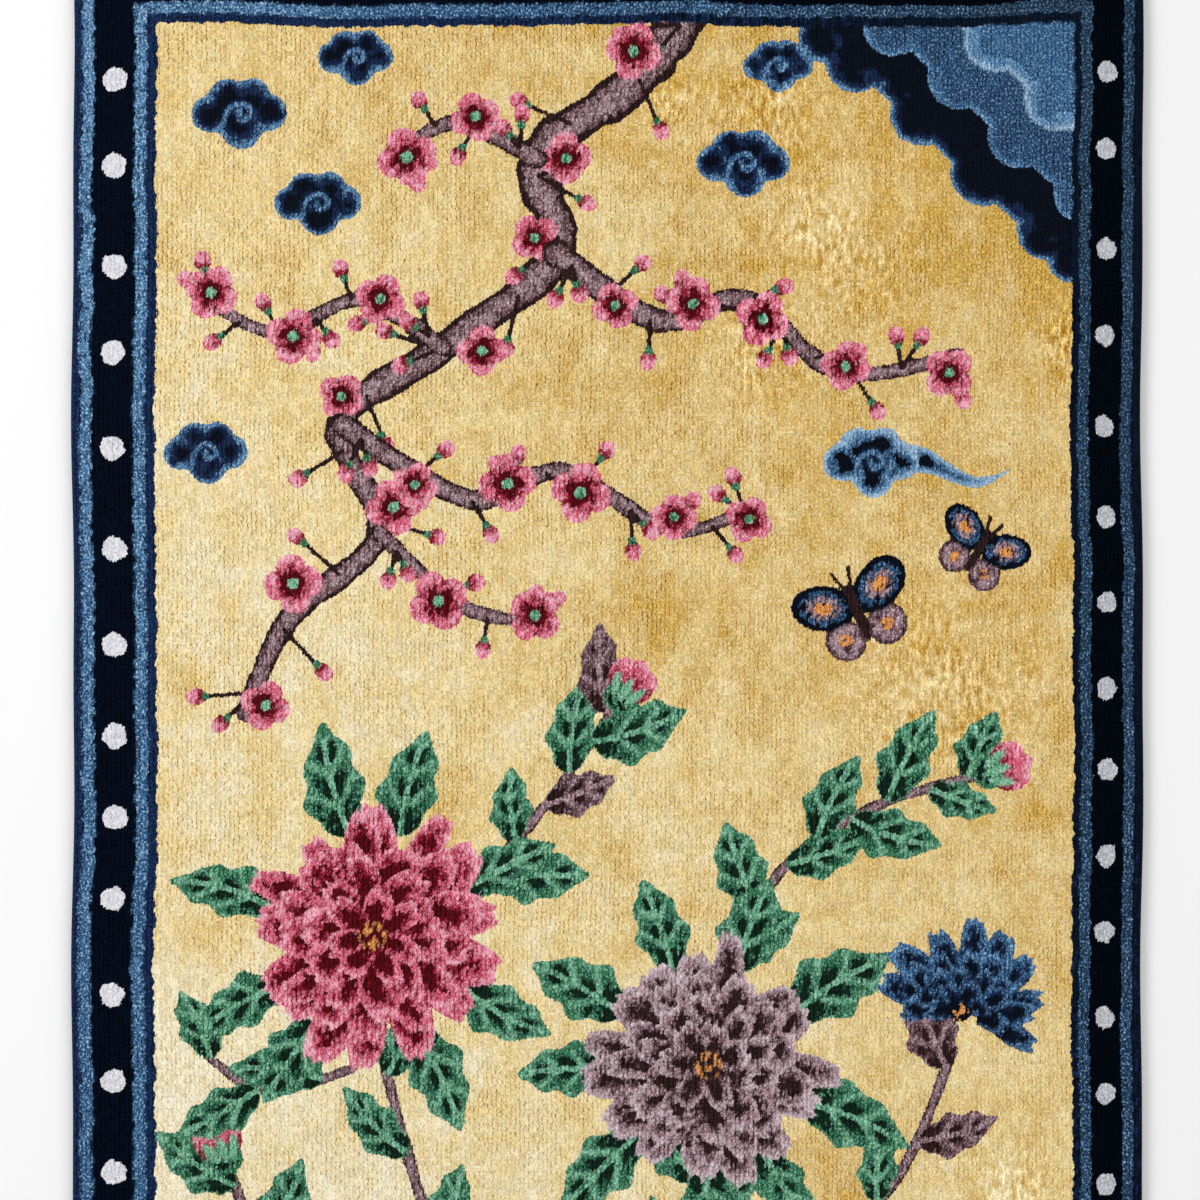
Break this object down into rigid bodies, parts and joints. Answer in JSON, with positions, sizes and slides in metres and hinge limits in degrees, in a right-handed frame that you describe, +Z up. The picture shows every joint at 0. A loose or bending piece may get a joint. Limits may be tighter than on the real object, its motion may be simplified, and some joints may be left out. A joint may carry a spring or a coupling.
{
  "type": "chinese silk rug",
  "caption": "Rectangular hand-knotted silk pile rug lying flat, with a yellow flowered field inside a dark blue border of pale dots, for covering a floor.",
  "frame": {"origin": "on the floor, under the middle of the rug's box", "axes": "+X across the rug to the right as the field is seen upright, +Y along the rug to its upper end, +Z up out of the pile"},
  "size_m": [0.7626, 1.2236, 0.0093],
  "materials": {
    "field_silk": "clipped silk pile, soft sheen, uneven yellow ground",
    "border_silk": "clipped silk pile, very dark blue with mid blue lines and ivory dots",
    "foundation": "flat ribbed back of the knots and wefts"
  },
  "bodies": {
    "root": {"rug": "field_silk"}
  },
  "joints": []
}
